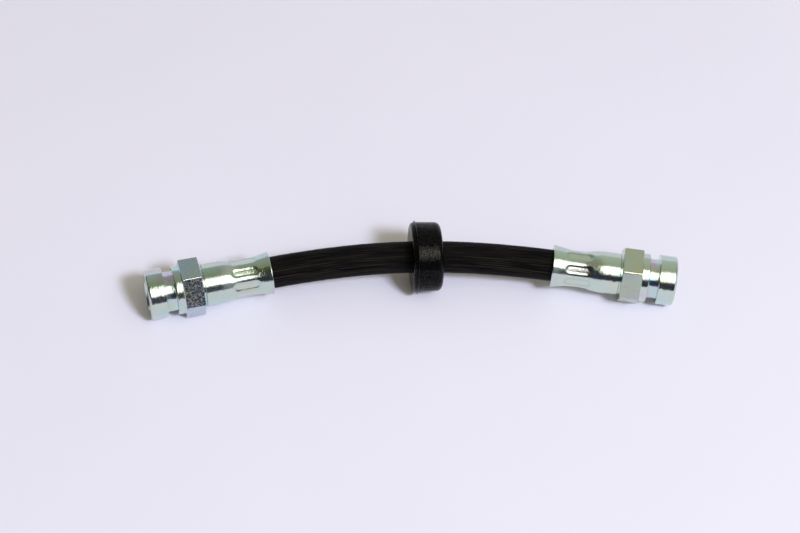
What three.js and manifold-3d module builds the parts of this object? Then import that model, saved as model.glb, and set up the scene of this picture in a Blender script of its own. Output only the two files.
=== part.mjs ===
// A short brake hose: five bonded hose layers, a crimped steel fitting with its insert tube at each
// end, and a rubber ring round the hose. Millimetres, +Z up, X along the hose, lying as it rests.

import * as THREE from 'three';
import { mergeVertices } from 'three/addons/utils/BufferGeometryUtils.js';
import Module from 'manifold-3d';

const wasm = await Module();
wasm.setup();

// Hose layers, from the bore outwards
const BORE_RADIUS = 1.6;
const INNER_TUBE_WALL = 1.0;
const INNER_BRAID_WALL = 0.3;
const MIDDLE_LAYER_WALL = 0.3;
const OUTER_BRAID_WALL = 0.3;
const OUTER_COVER_WALL = 1.35;
const LAYER_GAP = 0.1;

// Hose route
const FREE_LENGTH = 93.2; // along the hose, between the two sleeve mouths
const BEND = 19.2; // degrees between the axes of the two fittings
const RUN_ON = 0.37; // how far the hose keeps a fitting's direction, as a share of the free span

// Fitting: collar, clip groove, shoulder, hexagon, neck and crimp sleeve, from the outer end inwards
const COLLAR_LENGTH = 5.7;
const COLLAR_CHAMFER = 0.5;
const EDGE_BREAK = 0.15;
const GROOVE_WIDTH = 3.3;
const GROOVE_WALL = 1.5; // steel between the clip groove and the socket
const GROOVE_DEPTH = 1.65;
const SHOULDER_LENGTH = 2.5;
const SHOULDER_INSET = 0.5; // how far the shoulder stays inside the hexagon's flats
const SHOULDER_ROUNDING = 0.35;
const HEX_ACROSS_FLATS = 17;
const HEX_LENGTH = 6.4;
const HEX_CHAMFER_DEPTH = 0.25;
const HEX_CHAMFER_REACH = 0.45;
const NECK_LENGTH = 0.8;
const NECK_INSET = 0.35;
const SLEEVE_LENGTH = 22.2;
const SLEEVE_WALL = 1.35;
const MOUTH_FLARE = 0.15; // how much wider the mouth is than the plain sleeve
const MOUTH_ROUNDING = 0.25;

// Fitting: inside
const SOCKET_RADIUS = 5; // outer radius of an M10 x 1 female thread
const SOCKET_CHAMFER = 0.6;
const SOCKET_DEPTH = 12.5;
const SEAT_DEPTH = 2.4; // cone that the pipe's flare seats on
const WEB = 6.2; // solid steel between the seat and the hose cavity
const HOSE_CLEARANCE = 0.25;
const HOSE_END_GAP = 0.3;

// Crimp, measured from the sleeve's mouth
const WAIST_START = 7.8;
const WAIST_LENGTH = 1.8;
const WAIST_RISE = 7.6; // from the end of the waist back to the plain sleeve
const CRIMP_SQUEEZE = 0.7; // how much the crimp takes off the hose's radius
const CRIMP_WALL = 0.95; // steel under the floor of a dent
const CRIMP_RAMP = 1.8;
const DENT_COUNT = 8;
const DENT_START = 3.9;
const DENT_LENGTH = 9.6;
const DENT_WIDTH = 3.7;
const DENT_DEPTH = 0.35;

// Insert tube
const INSERT_GAP = 0.15;
const INSERT_WALL = 0.45;
const INSERT_REACH = 16; // how far it goes into the hose

// Rubber ring
const RING_PLACE = 51.5; // from the left sleeve's mouth, along the hose
const RING_LEAN = 2.2; // degrees that the ring leans from square to the hose
const RING_RADIUS = 11.65;
const RING_DRAFT = 0.28; // how much slimmer it is at its right end, so that it leaves its mould
const RING_WIDTH = 9.9;
const RING_GAP = 0.3;
const RING_LEFT_ROUNDING = 1.45;
const RING_RIGHT_ROUNDING = 1.9;
const RING_BORE_CHAMFER = 0.4;
const FLASH_HEIGHT = 0.45; // the thin moulding flash round the ring's left edge
const FLASH_WIDTH = 0.3;

// How each end was turned when it was crimped on, in degrees, from the hollow side of the bend upwards
const LEFT_END = { name: 'left', side: -1, hexTurn: 24.7, crimpTurn: 39.2 };
const RIGHT_END = { name: 'right', side: 1, hexTurn: 12, crimpTurn: 17.8 };

// Fineness of the round shapes
const BODY_SIDES = 36;
const HOLE_SIDES = 20;
const RING_SIDES = 40;
const INSERT_SIDES = 16;
const COVER_SIDES = 18;
const LAYER_SIDES = 10;
const HOSE_STEPS = 16;
const ARC_STEPS = 3;
const RAMP_STEPS = 4;
const CUT_OVERRUN = 1;

// Sizes that follow from the ones above
const layers = hoseLayers();
const hoseRadius = layers.at(-1).outer;
const crimpedRadius = hoseRadius - CRIMP_SQUEEZE;
const crimpBore = crimpedRadius + HOSE_CLEARANCE;
const dentFloor = crimpBore + CRIMP_WALL;
const waistRadius = dentFloor + DENT_DEPTH;
const sleeveBore = hoseRadius + HOSE_CLEARANCE;
const sleeveRadius = sleeveBore + SLEEVE_WALL;
const mouthRadius = sleeveRadius + MOUTH_FLARE;
const neckRadius = sleeveRadius - NECK_INSET;
const grooveRadius = SOCKET_RADIUS + GROOVE_WALL;
const collarRadius = grooveRadius + GROOVE_DEPTH;
const shoulderRadius = HEX_ACROSS_FLATS / 2 - SHOULDER_INSET;
const hexCorner = HEX_ACROSS_FLATS / Math.sqrt(3);
const insertRadius = BORE_RADIUS - INSERT_GAP;
const insertHole = insertRadius + INSERT_GAP;

// Places along a fitting, from its outer end
const grooveStart = COLLAR_LENGTH;
const shoulderStart = grooveStart + GROOVE_WIDTH;
const hexStart = shoulderStart + SHOULDER_LENGTH;
const neckStart = hexStart + HEX_LENGTH;
const sleeveStart = neckStart + NECK_LENGTH;
const fittingLength = sleeveStart + SLEEVE_LENGTH;
const seatBottom = SOCKET_DEPTH + SEAT_DEPTH;
const cavityBottom = seatBottom + WEB;
const insertedLength = fittingLength - cavityBottom - HOSE_END_GAP;

const zincPlate = new THREE.MeshStandardMaterial({ color: 0xbfc6c4, metalness: 1, roughness: 0.3 });
const bareSteel = new THREE.MeshStandardMaterial({ color: 0x9a9c9e, metalness: 1, roughness: 0.4 });
const tubeRubber = new THREE.MeshStandardMaterial({ color: 0x1b1b1d, roughness: 0.8 });
const braidYarn = new THREE.MeshStandardMaterial({ color: 0xd8d2c0, roughness: 0.9 });
const coverRubber = new THREE.MeshStandardMaterial({ color: 0x17161a, roughness: 0.7 });
const ringRubber = new THREE.MeshStandardMaterial({ color: 0x1c1b1f, roughness: 0.6 });

// The bonded layers as name, inner radius and outer radius, each laid on the one before.
function hoseLayers() {
  const walls = [
    ['hose_inner_tube', INNER_TUBE_WALL],
    ['hose_inner_braid', INNER_BRAID_WALL],
    ['hose_middle_layer', MIDDLE_LAYER_WALL],
    ['hose_outer_braid', OUTER_BRAID_WALL],
    ['hose_outer_cover', OUTER_COVER_WALL],
  ];
  let inner = BORE_RADIUS;
  return walls.map(([name, wall]) => {
    const layer = { name, inner, outer: inner + wall };
    inner = layer.outer + LAYER_GAP;
    return layer;
  });
}

// A solid of revolution about X. Its outline is a list of [distance along X, radius].
function turned(outline, sides) {
  const points = outline.map(([along, radius]) => new THREE.Vector2(radius, along));
  return new THREE.LatheGeometry(points, sides).rotateZ(-Math.PI / 2);
}

// A geometry as a solid that can be joined and cut.
function solid(geometry) {
  geometry.deleteAttribute('normal');
  geometry.deleteAttribute('uv');
  const merged = mergeVertices(geometry);
  const corners = merged.index.array;
  const triangles = [];
  for (let i = 0; i < corners.length; i += 3) {
    const [a, b, c] = [corners[i], corners[i + 1], corners[i + 2]];
    if (a !== b && b !== c && c !== a) triangles.push(a, b, c);
  }
  return new wasm.Manifold(new wasm.Mesh({
    numProp: 3,
    vertProperties: Float32Array.from(merged.attributes.position.array),
    triVerts: Uint32Array.from(triangles),
  }));
}

function geometryOf(body) {
  const { vertProperties, triVerts } = body.getMesh();
  const geometry = new THREE.BufferGeometry();
  geometry.setAttribute('position', new THREE.BufferAttribute(vertProperties, 3));
  geometry.setIndex(new THREE.BufferAttribute(triVerts, 1));
  geometry.computeVertexNormals();
  return geometry;
}

function namedMesh(name, geometry, material) {
  const mesh = new THREE.Mesh(geometry, material.clone());
  mesh.name = name;
  return mesh;
}

// A rounded edge of the given size, centred at [along, radius], between two angles in degrees
function arc(along, radius, size, from, to) {
  const points = [];
  for (let i = 0; i <= ARC_STEPS; i += 1) {
    const angle = THREE.MathUtils.degToRad(from + (to - from) * i / ARC_STEPS);
    points.push([along + size * Math.cos(angle), radius + size * Math.sin(angle)]);
  }
  return points;
}

// Two ways for the sleeve's radius to change: flared grows ever faster, smooth eases at both ends
const flared = (share) => share * share;
const smooth = (share) => THREE.MathUtils.smoothstep(share, 0, 1);

// A change of the sleeve's radius between two places along it
function ramp(fromAlong, fromRadius, toAlong, toRadius, ease) {
  const points = [];
  for (let i = 0; i <= RAMP_STEPS; i += 1) {
    const share = i / RAMP_STEPS;
    const along = THREE.MathUtils.lerp(fromAlong, toAlong, share);
    points.push([along, THREE.MathUtils.lerp(fromRadius, toRadius, ease(share))]);
  }
  return points;
}

// The fitting's outside, without its hexagon and dents
function turnedOutside() {
  const waistEnd = fittingLength - WAIST_START;
  const waistBegin = waistEnd - WAIST_LENGTH;
  const rounded = SHOULDER_ROUNDING;
  return turned([
    [0, 0],
    [0, collarRadius - COLLAR_CHAMFER],
    [COLLAR_CHAMFER, collarRadius],
    [grooveStart - EDGE_BREAK, collarRadius],
    [grooveStart, collarRadius - EDGE_BREAK],
    [grooveStart, grooveRadius],
    [shoulderStart, grooveRadius],
    ...arc(shoulderStart + rounded, shoulderRadius - rounded, rounded, 180, 90),
    [neckStart, shoulderRadius],
    [neckStart, neckRadius],
    [sleeveStart - EDGE_BREAK, neckRadius],
    [sleeveStart + EDGE_BREAK, sleeveRadius],
    ...ramp(waistBegin - WAIST_RISE, sleeveRadius, waistBegin, waistRadius, smooth),
    ...ramp(waistEnd, waistRadius, fittingLength - MOUTH_ROUNDING, mouthRadius, flared),
    [fittingLength, mouthRadius - MOUTH_ROUNDING],
    [fittingLength, 0],
  ], BODY_SIDES);
}

// The hexagon, its corners taken back by a cone on both faces
function hexagon(turn) {
  const corners = [];
  for (let i = 0; i < 6; i += 1) {
    const angle = -Math.PI / 2 + i * Math.PI / 3;
    corners.push(new THREE.Vector2(Math.cos(angle), Math.sin(angle)).multiplyScalar(hexCorner));
  }
  const section = new THREE.Shape(corners);
  const bar = new THREE.ExtrudeGeometry(section, { depth: HEX_LENGTH, bevelEnabled: false });
  bar.rotateY(Math.PI / 2).translate(hexStart, 0, 0);
  const limits = turned([
    [hexStart, 0],
    [hexStart, hexCorner - HEX_CHAMFER_REACH],
    [hexStart + HEX_CHAMFER_DEPTH, hexCorner + EDGE_BREAK],
    [neckStart - HEX_CHAMFER_DEPTH, hexCorner + EDGE_BREAK],
    [neckStart, hexCorner - HEX_CHAMFER_REACH],
    [neckStart, 0],
  ], BODY_SIDES);
  return solid(bar.rotateX(-THREE.MathUtils.degToRad(turn))).intersect(solid(limits));
}

// Socket, flare seat, hole for the insert tube and cavity for the hose, as one shape to cut away
function insideSpace() {
  return turned([
    [-CUT_OVERRUN, 0],
    [-CUT_OVERRUN, SOCKET_RADIUS + SOCKET_CHAMFER],
    [0, SOCKET_RADIUS + SOCKET_CHAMFER],
    [SOCKET_CHAMFER, SOCKET_RADIUS],
    [SOCKET_DEPTH, SOCKET_RADIUS],
    [seatBottom, insertHole],
    [cavityBottom, insertHole],
    [cavityBottom, sleeveBore],
    [fittingLength - DENT_START - DENT_LENGTH - CRIMP_RAMP, sleeveBore],
    [fittingLength - DENT_START - DENT_LENGTH, crimpBore],
    [fittingLength - DENT_START, crimpBore],
    [fittingLength - DENT_START + CRIMP_RAMP, sleeveBore],
    [fittingLength + CUT_OVERRUN, sleeveBore],
    [fittingLength + CUT_OVERRUN, 0],
  ], HOLE_SIDES);
}

// One jaw's oblong dent in the sleeve
function dent(turn) {
  const half = DENT_LENGTH / 2 - DENT_WIDTH / 2;
  const outline = new THREE.Shape();
  outline.absarc(half, 0, DENT_WIDTH / 2, -Math.PI / 2, Math.PI / 2);
  outline.absarc(-half, 0, DENT_WIDTH / 2, Math.PI / 2, Math.PI * 1.5);
  const jaw = new THREE.ExtrudeGeometry(outline, {
    depth: sleeveRadius - dentFloor + CUT_OVERRUN,
    bevelEnabled: false,
    curveSegments: ARC_STEPS,
  });
  jaw.rotateX(Math.PI / 2);
  jaw.translate(fittingLength - DENT_START - DENT_LENGTH / 2, -dentFloor, 0);
  return solid(jaw.rotateX(-THREE.MathUtils.degToRad(turn)));
}

function fittingBody(end) {
  const facing = end.side < 0 ? 1 : -1;
  let body = solid(turnedOutside()).add(hexagon(facing * end.hexTurn)).subtract(solid(insideSpace()));
  for (let i = 0; i < DENT_COUNT; i += 1) {
    body = body.subtract(dent(facing * end.crimpTurn + i * 360 / DENT_COUNT));
  }
  return geometryOf(body);
}

function insertTube() {
  const start = seatBottom;
  const tip = cavityBottom + INSERT_REACH;
  return turned([
    [start, insertRadius - INSERT_WALL],
    [start, insertRadius],
    [tip - EDGE_BREAK, insertRadius],
    [tip, insertRadius - EDGE_BREAK],
    [tip, insertRadius - INSERT_WALL],
    [start, insertRadius - INSERT_WALL],
  ], INSERT_SIDES);
}

// The mouths of the two fittings and the bend between them, in the plane of the bend
function bendBetweenMouths() {
  const rise = THREE.MathUtils.degToRad(BEND / 2);
  const spanned = (span) => new THREE.CubicBezierCurve3(
    new THREE.Vector3(-span / 2, 0, 0),
    new THREE.Vector3(-span / 2 + RUN_ON * span * Math.cos(rise), RUN_ON * span * Math.sin(rise), 0),
    new THREE.Vector3(span / 2 - RUN_ON * span * Math.cos(rise), RUN_ON * span * Math.sin(rise), 0),
    new THREE.Vector3(span / 2, 0, 0),
  );
  return spanned(FREE_LENGTH / spanned(1).getLength());
}

function hoseRoute(bend) {
  const start = bend.getPoint(0).addScaledVector(bend.getTangent(0), -insertedLength);
  const finish = bend.getPoint(1).addScaledVector(bend.getTangent(1), insertedLength);
  const route = new THREE.CurvePath();
  route.add(new THREE.LineCurve3(start, bend.getPoint(0)));
  route.add(bend);
  route.add(new THREE.LineCurve3(bend.getPoint(1), finish));
  return route;
}

function circlePoints(radius, sides) {
  const points = [];
  for (let i = 0; i < sides; i += 1) {
    const angle = i / sides * Math.PI * 2;
    points.push(new THREE.Vector2(radius * Math.cos(angle), radius * Math.sin(angle)));
  }
  return points;
}

function layerGeometry(layer, route, sides) {
  const section = new THREE.Shape(circlePoints(layer.outer, sides));
  section.holes.push(new THREE.Path(circlePoints(layer.inner, LAYER_SIDES).reverse()));
  return new THREE.ExtrudeGeometry(section, { extrudePath: route, steps: HOSE_STEPS });
}

// What a crimp takes off the cover, in the frame of its fitting: a ring round the squeezed stretch
function crimpedAway() {
  const outside = sleeveBore + CUT_OVERRUN;
  const from = fittingLength - DENT_START - DENT_LENGTH - HOSE_CLEARANCE;
  const to = fittingLength - DENT_START + HOSE_CLEARANCE;
  return turned([
    [from - CRIMP_RAMP, hoseRadius + HOSE_CLEARANCE],
    [from, crimpedRadius],
    [to, crimpedRadius],
    [to + CRIMP_RAMP, hoseRadius + HOSE_CLEARANCE],
    [to + CRIMP_RAMP, outside],
    [from - CRIMP_RAMP, outside],
    [from - CRIMP_RAMP, hoseRadius + HOSE_CLEARANCE],
  ].reverse(), HOLE_SIDES);
}

// Rubber ring: the mould parts at the start of the left edge's rounding and leaves a thin flash there
function ringGeometry() {
  const left = -RING_WIDTH / 2;
  const right = RING_WIDTH / 2;
  const bore = hoseRadius + RING_GAP;
  const slimRadius = RING_RADIUS - RING_DRAFT;
  const flashStart = left + RING_LEFT_ROUNDING;
  const start = [left, bore + RING_BORE_CHAMFER];
  return turned([
    start,
    ...arc(flashStart, RING_RADIUS - RING_LEFT_ROUNDING, RING_LEFT_ROUNDING, 180, 90),
    [flashStart, RING_RADIUS + FLASH_HEIGHT],
    [flashStart + FLASH_WIDTH, RING_RADIUS + FLASH_HEIGHT / 2],
    [flashStart + FLASH_WIDTH, RING_RADIUS],
    ...arc(right - RING_RIGHT_ROUNDING, slimRadius - RING_RIGHT_ROUNDING, RING_RIGHT_ROUNDING, 90, 0),
    [right, bore + RING_BORE_CHAMFER],
    [right - RING_BORE_CHAMFER, bore],
    [left + RING_BORE_CHAMFER, bore],
    start,
  ], RING_SIDES);
}

// A fitting and its insert tube, in a group that lines them up with one end of the bend
function endGroup(end, bend) {
  const group = new THREE.Group();
  const atLeft = end.side < 0;
  const inwards = bend.getTangent(atLeft ? 0 : 1).multiplyScalar(-end.side);
  const mouth = bend.getPoint(atLeft ? 0 : 1);
  group.position.copy(mouth).addScaledVector(inwards, -fittingLength);
  group.rotation.z = Math.atan2(inwards.y, inwards.x);
  group.add(namedMesh(`${end.name}_end_fitting`, fittingBody(end), zincPlate));
  group.add(namedMesh(`${end.name}_insert_tube`, insertTube(), bareSteel));
  group.updateMatrixWorld(true);
  return group;
}

// The five layers along the route; the outermost is squeezed where the ends are crimped on it
function hoseMeshes(route, ends) {
  const materials = [tubeRubber, braidYarn, tubeRubber, braidYarn];
  const inside = layers.slice(0, -1).map((layer, i) => (
    namedMesh(layer.name, layerGeometry(layer, route, LAYER_SIDES), materials[i])
  ));
  const outermost = layers.at(-1);
  let cover = solid(layerGeometry(outermost, route, COVER_SIDES));
  for (const end of ends) {
    cover = cover.subtract(solid(crimpedAway().applyMatrix4(end.matrixWorld)));
  }
  return [...inside, namedMesh(outermost.name, geometryOf(cover), coverRubber)];
}

// The lowest corner of a mesh once the assembly has the given turn
function lowestCorner(mesh, turn) {
  const places = mesh.geometry.attributes.position;
  const lowest = new THREE.Vector3(0, 0, Infinity);
  const corner = new THREE.Vector3();
  for (let i = 0; i < places.count; i += 1) {
    corner.fromBufferAttribute(places, i).applyMatrix4(mesh.matrixWorld).applyQuaternion(turn);
    if (corner.z < lowest.z) lowest.copy(corner);
  }
  return lowest;
}

// The hose lies on three points: one corner of each hexagon, and the ring. The turn that brings the
// lowest points of the three to one level is found in a few passes.
function restingTurn(supports) {
  const passes = 12;
  const up = new THREE.Vector3(0, 0, 1);
  const turn = new THREE.Quaternion();
  for (let pass = 0; pass < passes; pass += 1) {
    const [a, b, c] = supports.map((mesh) => lowestCorner(mesh, turn));
    const normal = b.sub(a).cross(c.sub(a)).normalize();
    if (normal.z < 0) normal.negate();
    turn.premultiply(new THREE.Quaternion().setFromUnitVectors(normal, up));
  }
  return turn;
}

const bend = bendBetweenMouths();
const ends = [LEFT_END, RIGHT_END].map((end) => endGroup(end, bend));
const ring = namedMesh('rubber_ring', ringGeometry(), ringRubber);
const ringShare = RING_PLACE / FREE_LENGTH;
const ringDirection = bend.getTangentAt(ringShare);
ring.position.copy(bend.getPointAt(ringShare));
ring.rotation.z = Math.atan2(ringDirection.y, ringDirection.x) + THREE.MathUtils.degToRad(RING_LEAN);

const brakeHose = new THREE.Group();
brakeHose.add(...ends, ...hoseMeshes(hoseRoute(bend), ends), ring);
brakeHose.updateMatrixWorld(true);
brakeHose.quaternion.copy(restingTurn([ends[0].children[0], ends[1].children[0], ring]));

// The origin is under the middle of the whole, on the surface it lies on.
const box = new THREE.Box3().setFromObject(brakeHose, true);
const middle = box.getCenter(new THREE.Vector3());
brakeHose.position.set(-middle.x, -middle.y, -box.min.z);

export default brakeHose;
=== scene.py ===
# %% [markdown]
# A short brake hose for a car, lying on a pale table. Two steel end fittings are crimped on a
# ribbed rubber hose, and a rubber ring sits round its middle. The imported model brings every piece
# at its real size, so this lesson only has to give the pieces their fine shapes and their finishes.

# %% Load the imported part
import math

import bpy
import numpy as np
from mathutils import Matrix, Vector


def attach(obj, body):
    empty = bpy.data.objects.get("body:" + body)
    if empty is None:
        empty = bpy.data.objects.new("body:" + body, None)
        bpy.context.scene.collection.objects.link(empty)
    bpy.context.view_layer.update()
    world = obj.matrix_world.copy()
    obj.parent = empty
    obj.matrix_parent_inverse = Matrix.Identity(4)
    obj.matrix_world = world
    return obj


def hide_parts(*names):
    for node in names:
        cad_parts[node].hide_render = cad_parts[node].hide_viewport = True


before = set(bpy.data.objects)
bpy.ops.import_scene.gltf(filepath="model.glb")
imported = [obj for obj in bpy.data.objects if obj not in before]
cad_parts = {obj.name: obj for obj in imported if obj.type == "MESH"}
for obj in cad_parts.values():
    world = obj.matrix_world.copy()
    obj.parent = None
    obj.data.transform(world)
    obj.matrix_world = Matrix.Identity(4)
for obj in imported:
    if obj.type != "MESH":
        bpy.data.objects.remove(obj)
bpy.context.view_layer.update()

MM = 0.001
print("nodes", sorted(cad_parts))

# %% [markdown]
# The camera looks down at the hose from a little under fifty degrees, slightly from its left, and
# is tilted a little, as a camera in the hand is. A long lens from a metre away keeps both ends
# nearly the same size. The camera could be aimed beside the hose to place it in the picture, but a
# small lens shift keeps the aim on the hose itself, so other views turn round its middle.

# %% Camera
PICTURE_WIDTH = 800
CAMERA_AZIMUTH = math.radians(-7.62)
CAMERA_ELEVATION = math.radians(47)
CAMERA_ROLL = math.radians(4.2)
CAMERA_DISTANCE = 1.0
AIM = Vector((0, 0, 10 * MM))
AIM_RIGHT_OF_MIDDLE = 11.3  # pixels
AIM_BELOW_MIDDLE = 2.3
PIXELS_PER_METRE = 3045  # at the aim point
SENSOR_WIDTH = 36


def camera_axes(azimuth, elevation, roll):
    """Right, up and backwards directions of a camera that looks at the aim point."""
    back = Vector((
        math.sin(azimuth) * math.cos(elevation),
        -math.cos(azimuth) * math.cos(elevation),
        math.sin(elevation),
    ))
    right = Vector((math.cos(azimuth), math.sin(azimuth), 0))
    up = back.cross(right)
    rolled_right = right * math.cos(roll) + up * math.sin(roll)
    return rolled_right, back.cross(rolled_right), back


right, up, back = camera_axes(CAMERA_AZIMUTH, CAMERA_ELEVATION, CAMERA_ROLL)
camera = bpy.data.objects.new("camera", bpy.data.cameras.new("camera"))
camera.matrix_world = Matrix((right, up, back)).transposed().to_4x4()
camera.location = AIM + back * CAMERA_DISTANCE
camera.data.sensor_width = SENSOR_WIDTH
camera.data.lens = SENSOR_WIDTH * PIXELS_PER_METRE * CAMERA_DISTANCE / PICTURE_WIDTH
camera.data.shift_x = -AIM_RIGHT_OF_MIDDLE / PICTURE_WIDTH
camera.data.shift_y = AIM_BELOW_MIDDLE / PICTURE_WIDTH
bpy.context.scene.collection.objects.link(camera)
bpy.context.scene.camera = camera
bpy.context.scene.view_settings.view_transform = "Standard"
print("lens", round(camera.data.lens, 1), "mm, camera at", [round(x, 3) for x in camera.location])

# %% [markdown]
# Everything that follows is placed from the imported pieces. A turned piece has its corners in rings
# round an axis, so the main directions of its corners give that axis. The insert tubes, which sit
# dead centre in the fittings, give the fittings' axes, and the fittings' own corners give how far
# they reach and how their hexagons are turned.

# %% Axes of the turned pieces


def corners_of(name):
    """A node's corners, each once, as rows of numbers."""
    found = np.array([v.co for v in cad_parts[name].data.vertices], float)
    return np.unique(found.round(7), axis=0)


def axis_of(name):
    """A point on the axis of a turned node, and the axis's direction towards +X."""
    corners = corners_of(name)
    middle = corners.mean(0)
    directions = np.linalg.svd(corners - middle, full_matrices=False)[2]
    axis = max(directions, key=lambda d: abs(d[0]))
    return middle, axis * np.sign(axis[0])


def unit(vector):
    return vector / np.linalg.norm(vector)


# %% Places of the two fittings
CRIMP_TURN = {"left": -14.5, "right": 5.8}  # degrees from a corner of the hexagon to a dent


def fitting_place(side):
    """Outer end, mouth, inward direction and two cross directions, the first to a hexagon corner."""
    on_axis, inwards = axis_of(side + "_insert_tube")
    if side == "right":
        inwards = -inwards
    corners = corners_of(side + "_end_fitting") - on_axis
    along = corners @ inwards
    across = corners - np.outer(along, inwards)
    reach = np.linalg.norm(across, axis=1)
    corner_directions = across[reach > reach.max() - 1e-6]
    nearest = min(corner_directions, key=lambda d: d[1])
    first = unit(nearest)
    return {
        "end": on_axis + inwards * along.min(),
        "mouth": on_axis + inwards * along.max(),
        "inwards": inwards,
        "first": first,
        "second": np.cross(inwards, first),
        "length": along.max() - along.min(),
    }


places = {side: fitting_place(side) for side in ("left", "right")}
for side, place in places.items():
    print(side, "fitting", round(place["length"] / MM, 2), "mm, inwards", place["inwards"].round(4))

# %% [markdown]
# The hose runs straight inside each fitting and bends evenly between the two mouths. One cubic
# curve keeps each fitting's direction for a share of the way, which is how a short stiff hose
# bends: most in the middle. The line is measured as it goes, because the pieces on the hose are
# placed by their distance along it.

# %% Centreline of the hose
RUN_ON = 0.37  # how far the hose keeps a fitting's direction, as a share of the free span
BEND_STEPS = 400
beyond_mouth = (corners_of("hose_outer_cover") - places["left"]["mouth"]) @ places["left"]["inwards"]
INSERTED = -beyond_mouth.min()  # hose inside each fitting


def bend_points():
    """Points of the free bend, from the left mouth to the right one."""
    start, finish = places["left"]["mouth"], places["right"]["mouth"]
    handle = RUN_ON * np.linalg.norm(finish - start)
    after_start = start + places["left"]["inwards"] * handle
    before_finish = finish + places["right"]["inwards"] * handle
    t = np.linspace(0, 1, BEND_STEPS + 1)[:, None]
    u = 1 - t
    return u**3 * start + 3 * u * u * t * after_start + 3 * u * t * t * before_finish + t**3 * finish


bend = bend_points()
route = np.vstack([
    bend[0] - places["left"]["inwards"] * INSERTED,
    bend,
    bend[-1] - places["right"]["inwards"] * INSERTED,
])
route_length = np.concatenate([[0], np.linalg.norm(np.diff(route, axis=0), axis=1).cumsum()])
HOSE_LENGTH = route_length[-1]
bend_up = unit(np.cross(-places["right"]["inwards"], places["left"]["inwards"]))
free_length = HOSE_LENGTH - 2 * INSERTED
print("hose", round(HOSE_LENGTH / MM, 1), "mm long,", round(free_length / MM, 1), "mm free")


def along_hose(distances):
    """Points on the centreline and the directions there, at the given distances from its left end."""
    step = 0.5 * MM
    points, before, after = [
        np.stack([np.interp(distances + aside, route_length, route[:, i]) for i in range(3)], axis=1)
        for aside in (0, -step, step)
    ]
    directions = after - before
    return points, directions / np.linalg.norm(directions, axis=1)[:, None]


# %% [markdown]
# All the outer pieces are round about a line, so one function skins them all: it takes a list of
# rings, each a loop of points, and joins each ring to the next and the last one to the first. The
# result is one closed skin with no stray faces. A lathe modifier would make the plain turned
# shapes too, but a ring may also hold the hexagon's flats, the crimp's dents or the hose's ribs.

# %% A skin through rings
SHARP_ANGLE = math.radians(32)


def skin(name, rings, finishes, ring_finish=None):
    """A closed mesh through the rings. ring_finish gives each ring's number in finishes."""
    rings = np.asarray(rings, float)
    count, around = rings.shape[:2]
    i, j = np.meshgrid(np.arange(count), np.arange(around), indexing="ij")
    next_i, next_j = (i + 1) % count, (j + 1) % around
    quads = np.stack([
        i * around + j,
        i * around + next_j,
        next_i * around + next_j,
        next_i * around + j,
    ], axis=-1).reshape(-1, 4)
    mesh = bpy.data.meshes.new(name)
    mesh.from_pydata(rings.reshape(-1, 3).tolist(), [], quads.tolist())
    for finish in finishes:
        mesh.materials.append(finish)
    if ring_finish is not None:
        mesh.polygons.foreach_set("material_index", np.repeat(ring_finish, around).astype(np.int32))
    mesh.polygons.foreach_set("use_smooth", np.ones(len(quads), bool))
    mesh.set_sharp_from_angle(angle=SHARP_ANGLE)
    mesh.update()
    piece = bpy.data.objects.new(name, mesh)
    bpy.context.scene.collection.objects.link(piece)
    print(name, 2 * len(quads), "triangles")
    return piece


def add_attribute(piece, name, rows):
    """Gives each corner of a piece a vector that its material can read."""
    attribute = piece.data.attributes.new(name, "FLOAT_VECTOR", "POINT")
    attribute.data.foreach_set("vector", np.asarray(rows, np.float32).ravel())


def add_numbers(piece, name, numbers):
    """Gives each corner of a piece a number that its material can read."""
    attribute = piece.data.attributes.new(name, "FLOAT", "POINT")
    attribute.data.foreach_set("value", np.asarray(numbers, np.float32))


# %% [markdown]
# Materials are built from nodes. Colours are written as on a screen, in hex, and one function
# turns them to the linear values that the shader works with. One more function adds a node, sets
# its options and fills its sockets, either with values or with another node's output.

# %% Colour and node helpers


def colour(hexadecimal):
    """An sRGB hex colour as linear red, green, blue and alpha."""
    parts = [int(hexadecimal[i:i + 2], 16) / 255 for i in (1, 3, 5)]
    return [p / 12.92 if p <= 0.04045 else ((p + 0.055) / 1.055) ** 2.4 for p in parts] + [1]


def add_node(tree, kind, sockets=None, **options):
    """Adds a node with its options, and fills its sockets, by name or number."""
    made = tree.nodes.new(kind)
    for option, value in options.items():
        setattr(made, option, value)
    for socket, value in (sockets or {}).items():
        if isinstance(value, bpy.types.NodeSocket):
            tree.links.new(value, made.inputs[socket])
        else:
            made.inputs[socket].default_value = value
    return made


def new_material(name, kind="ShaderNodeBsdfPrincipled"):
    """An empty material: its node tree and its shader, already joined to the output."""
    material = bpy.data.materials.new(name)
    material.use_nodes = True
    tree = material.node_tree
    tree.nodes.clear()
    shader = add_node(tree, kind)
    add_node(tree, "ShaderNodeOutputMaterial", {"Surface": shader.outputs[0]})
    return material, tree, shader


# %% [markdown]
# The fittings are free-cutting steel, turned on a lathe and then zinc plated and blue passivated.
# The plating is a bright, cool, slightly green metal, and its passivation film is so thin that it
# shows faint tints of cyan, pink and yellow where its thickness changes, most of all in the groove.
# The tints are laid as wide soft patches. Plated steel is never mirror flat: what the tool left in
# it breaks up the edges of whatever it reflects. So each surface has its own grain, given by how far
# it runs along and round the piece, and its own least and most roughness. The left hexagon keeps the
# pitted skin of its bar, while the right one is smooth. Halfway up the wall of each crimp dent the
# plating is darker: painted shade that outlines the dent.

# %% Zinc plating on turned steel
TINT_PATCH = 7.0  # mm across a patch of one tint
DENT_PAINTED_SHADE = "#4C5654"  # painted shade on the wall of a crimp dent
TINT_BEGINS, TINT_FULL = 0.5, 0.72  # values of the noise that lays a tint
MARKS_LOW, MARKS_HIGH = 0.38, 0.62  # values of the noise that lays the marks
PER_METRE = 1000  # patterns per metre for a pattern of one millimetre


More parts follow.
